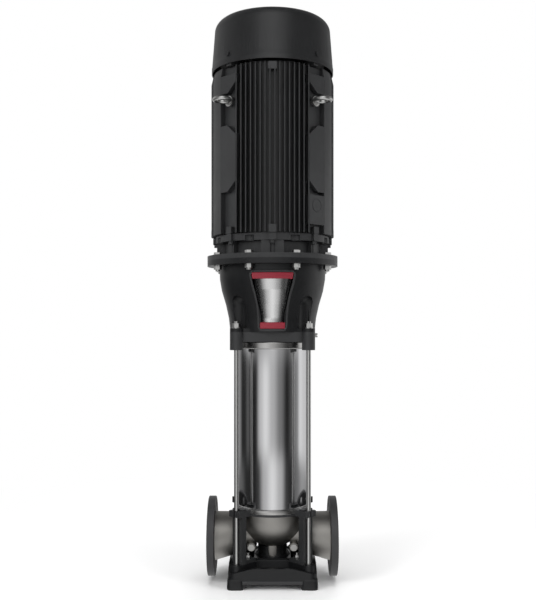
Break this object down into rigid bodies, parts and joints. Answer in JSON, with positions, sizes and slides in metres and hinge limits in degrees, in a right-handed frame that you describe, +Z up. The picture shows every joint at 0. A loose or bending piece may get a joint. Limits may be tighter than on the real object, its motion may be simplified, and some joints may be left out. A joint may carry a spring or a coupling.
{
  "type": "vertical multistage pump",
  "caption": "Vertical inline multistage centrifugal pump: slotted cast base with opposed flanged ports, stainless sleeve held by staybolts, guarded coupling stool and finned flange motor.",
  "frame": {"origin": "on the pump axis at floor level, the centre of the four anchor holes under the feet", "axes": "+Z up the pump and motor axis; suction port faces -X, discharge port faces +X, the front coupling guard faces -Y and the terminal box faces +Y"},
  "size_m": [0.45, 0.536, 1.918],
  "materials": {
    "black_paint": "satin charcoal-black enamel on grey cast iron",
    "fan_cover_paint": "satin black enamel on pressed sheet steel",
    "flange_paint": "dark grey enamel on ductile iron",
    "cast_stainless": "bead-blasted cast stainless steel",
    "polished_sleeve": "bright drawn stainless tube",
    "guard_steel": "brushed stainless sheet",
    "bright_fasteners": "zinc-plated steel",
    "machined_steel": "turned and ground steel",
    "stage_steel": "pressed and welded stainless sheet",
    "red_trim": "satin moulded plastic",
    "seal_rubber": "matt elastomer",
    "seal_carbide": "lapped carbide",
    "lamination_steel": "stacked electrical steel",
    "winding_copper": "varnished copper",
    "fan_plastic": "moulded polyamide",
    "box_paint": "satin charcoal-black enamel"
  },
  "bodies": {
    "housing": {"base_plate": "black_paint", "bowl_frame": "black_paint", "frame_studs": "bright_fasteners", "pump_base": "cast_stainless", "inlet_flange": "flange_paint", "outlet_flange": "flange_paint", "drain_plugs": "machined_steel", "outer_sleeve": "polished_sleeve", "sleeve_collar": "cast_stainless", "o_rings": "seal_rubber", "staybolts": "bright_fasteners", "staybolt_nuts": "bright_fasteners", "pump_head": "black_paint", "seal_housing": "machined_steel", "seal_seat": "seal_carbide", "seal_screws": "bright_fasteners", "neck_rings": "seal_rubber", "motor_stool": "black_paint", "guard_front": "guard_steel", "guard_back": "guard_steel", "guard_trims": "red_trim", "de_shield": "black_paint", "nde_shield": "black_paint", "bearing_outer_rings": "machined_steel", "motor_frame": "black_paint", "eye_bolts": "bright_fasteners", "stator_core": "lamination_steel", "stator_windings": "winding_copper", "fan_cover": "fan_cover_paint", "fan_cover_screws": "fan_cover_paint", "terminal_box": "box_paint", "terminal_lid": "box_paint", "lid_screws": "bright_fasteners", "blanking_plugs": "fan_plastic", "terminal_block": "fan_plastic", "flange_fasteners": "bright_fasteners", "shield_screws": "black_paint", "vent_plug": "machined_steel", "priming_plug": "machined_steel", "chamber_1": "stage_steel", "chamber_2": "stage_steel", "chamber_3": "stage_steel", "chamber_4": "stage_steel", "chamber_5": "stage_steel"},
    "rotor": {"pump_shaft": "machined_steel", "shaft_spacers": "stage_steel", "seal_ring": "seal_carbide", "coupling_halves": "machined_steel", "coupling_screws": "bright_fasteners", "motor_shaft": "machined_steel", "rotor_core": "lamination_steel", "bearing_inner_rings": "machined_steel", "fan": "fan_plastic", "impeller_1": "stage_steel", "impeller_2": "stage_steel", "impeller_3": "stage_steel", "impeller_4": "stage_steel", "impeller_5": "stage_steel"},
    "vent_screw": {"vent_spindle": "machined_steel"}
  },
  "joints": [
    {"name": "shaft_spin", "type": "hinge", "parent": "housing", "child": "rotor", "pos_m": [0, 0, 0.9], "axis": [0, 0, 1], "continuous": true},
    {"name": "vent_turn", "type": "hinge", "parent": "housing", "child": "vent_screw", "pos_m": [0.14, 0, 0.8388], "axis": [1, 0, 0], "range_deg": [0, 540]}
  ]
}
